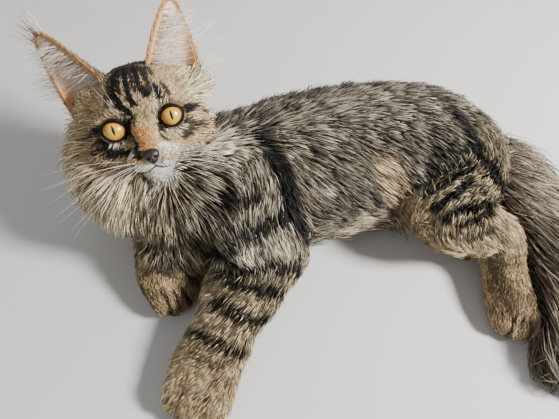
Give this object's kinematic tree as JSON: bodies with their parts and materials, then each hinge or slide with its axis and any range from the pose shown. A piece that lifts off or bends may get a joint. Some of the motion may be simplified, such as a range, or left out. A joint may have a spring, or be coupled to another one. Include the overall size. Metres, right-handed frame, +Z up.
{
  "type": "maine coon kitten model",
  "caption": "Still, life-size model of a long-haired brown tabby kitten lying on its side with its head raised, with tufted ears and a full ruff.",
  "frame": {"origin": "on the floor under the middle of the trunk", "axes": "+X from the head towards the tail, +Y towards the kitten's back, +Z up from the floor"},
  "size_m": [0.4456, 0.2848, 0.1544],
  "materials": {
    "body_coat": "long soft grey-brown tabby coat with dark bars",
    "ruff_coat": "long pale cream coat",
    "tail_coat": "very long brown-grey coat with a dark streak",
    "face_coat": "short tabby coat with dark stripes and a white muzzle",
    "paw_coat": "short warm brown coat",
    "ear": "thin pink skin with sparse fine fur",
    "eye": "wet amber eye with a thin dark slit",
    "nose_leather": "moist dark nose skin"
  },
  "bodies": {
    "root": {"eye_left": "eye", "eye_right": "eye", "nose": "nose_leather", "head": "face_coat", "ear_left": "ear", "ear_right": "ear", "torso": "body_coat", "neck": "ruff_coat", "upper_foreleg_left": "body_coat", "forearm_left": "body_coat", "forepaw_left": "paw_coat", "upper_foreleg_right": "body_coat", "forearm_right": "body_coat", "forepaw_right": "paw_coat", "thigh_left": "body_coat", "lower_leg_left": "body_coat", "hindpaw_left": "paw_coat", "thigh_right": "body_coat", "lower_leg_right": "body_coat", "hindpaw_right": "paw_coat", "tail_base": "tail_coat", "tail_end": "tail_coat"}
  },
  "joints": []
}
